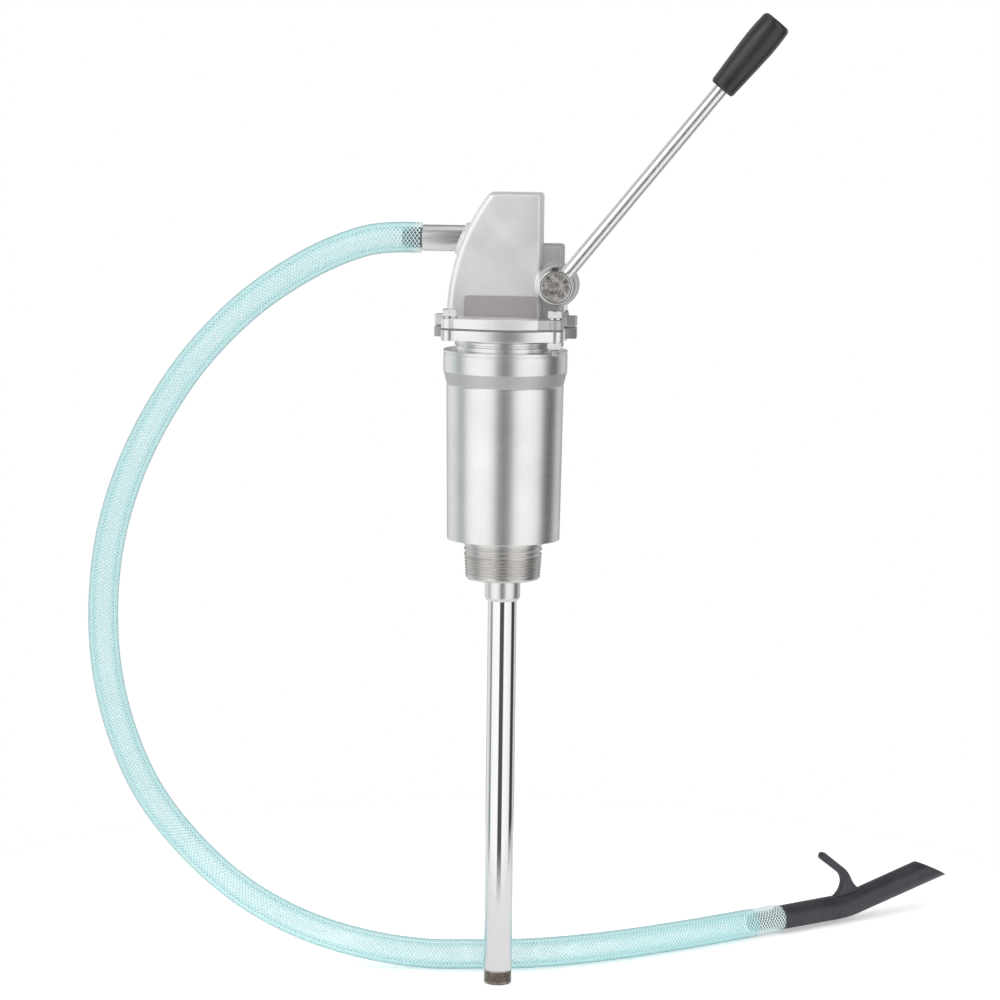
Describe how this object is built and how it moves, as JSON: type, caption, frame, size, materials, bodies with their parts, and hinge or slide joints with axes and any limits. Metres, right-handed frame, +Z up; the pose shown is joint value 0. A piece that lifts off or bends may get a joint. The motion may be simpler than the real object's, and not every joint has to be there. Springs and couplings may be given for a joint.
{
  "type": "fluid transfer pump",
  "caption": "Hand lever drum pump with a threaded bung fitting, a suction pipe below and a clear braided delivery hose with a hooked spout.",
  "frame": {"origin": "centre of the shoulder at the foot of the barrel, where the drum bung thread starts", "axes": "+Z up along the pump's axis, -Y towards the front with the lever hub, +X to the side that the lever points to, -X to the outlet"},
  "size_m": [0.6691, 0.3559, 0.7298],
  "materials": {
    "machined_aluminium": "fine turned satin",
    "cast_aluminium": "satin casting",
    "chromed_steel": "polished chrome",
    "zinc_fasteners": "bright zinc plate",
    "nameplate": "satin, blank",
    "steel": "ground and oiled",
    "bronze": "turned",
    "rubber": "matte",
    "gasket": "matte sheet",
    "grip": "fine satin",
    "spout": "smooth satin",
    "hose": "clear pale aqua, braided"
  },
  "bodies": {
    "casing": {"barrel": "machined_aluminium", "suction_socket": "machined_aluminium", "rear_cap": "machined_aluminium", "pump_head": "cast_aluminium", "outlet_pipe": "cast_aluminium", "suction_pipe": "chromed_steel", "flange_bolt_1": "zinc_fasteners", "flange_washer_1": "zinc_fasteners", "flange_bolt_2": "zinc_fasteners", "flange_nut_2": "zinc_fasteners", "flange_washer_2": "zinc_fasteners", "flange_bolt_3": "zinc_fasteners", "flange_nut_3": "zinc_fasteners", "flange_washer_3": "zinc_fasteners", "flange_bolt_4": "zinc_fasteners", "flange_nut_4": "zinc_fasteners", "flange_washer_4": "zinc_fasteners", "nameplate": "nameplate", "guide_plate": "steel", "guide_bush": "bronze", "shaft_bush_front": "bronze", "shaft_bush_rear": "bronze", "valve_cage": "bronze", "shaft_seal": "rubber", "flange_gasket": "gasket", "spout": "spout", "hose": "hose"},
    "lever": {"lever_shaft": "steel", "quadrant_gear": "steel", "gear_pin": "steel", "lever_hub": "cast_aluminium", "hub_set_screw": "steel", "lever_rod": "chromed_steel", "lever_grip": "grip"},
    "piston": {"piston_rod": "steel", "piston": "machined_aluminium", "piston_seal_lower": "rubber", "piston_seal_upper": "rubber", "piston_nut": "steel", "valve_stop_ring": "steel"},
    "inlet_valve": {"inlet_valve": "bronze"},
    "piston_valve": {"piston_valve": "bronze"}
  },
  "joints": [
    {"name": "lever_pivot", "type": "hinge", "parent": "casing", "child": "lever", "pos_m": [0.0396, 0, 0.1918], "axis": [0, 1, 0], "range_deg": [0, 52]},
    {"name": "rod_slide", "type": "slide", "parent": "casing", "child": "piston", "axis": [0, 0, 1], "range_m": [0, 0.0307]},
    {"name": "inlet_valve_lift", "type": "slide", "parent": "casing", "child": "inlet_valve", "axis": [0, 0, 1], "range_m": [0, 0.003]},
    {"name": "piston_valve_lift", "type": "slide", "parent": "piston", "child": "piston_valve", "axis": [0, 0, 1], "range_m": [0, 0.0035]}
  ],
  "couplings": [
    {"joint": "rod_slide", "follows": "lever_pivot", "m_per_rad": 0.03375}
  ]
}
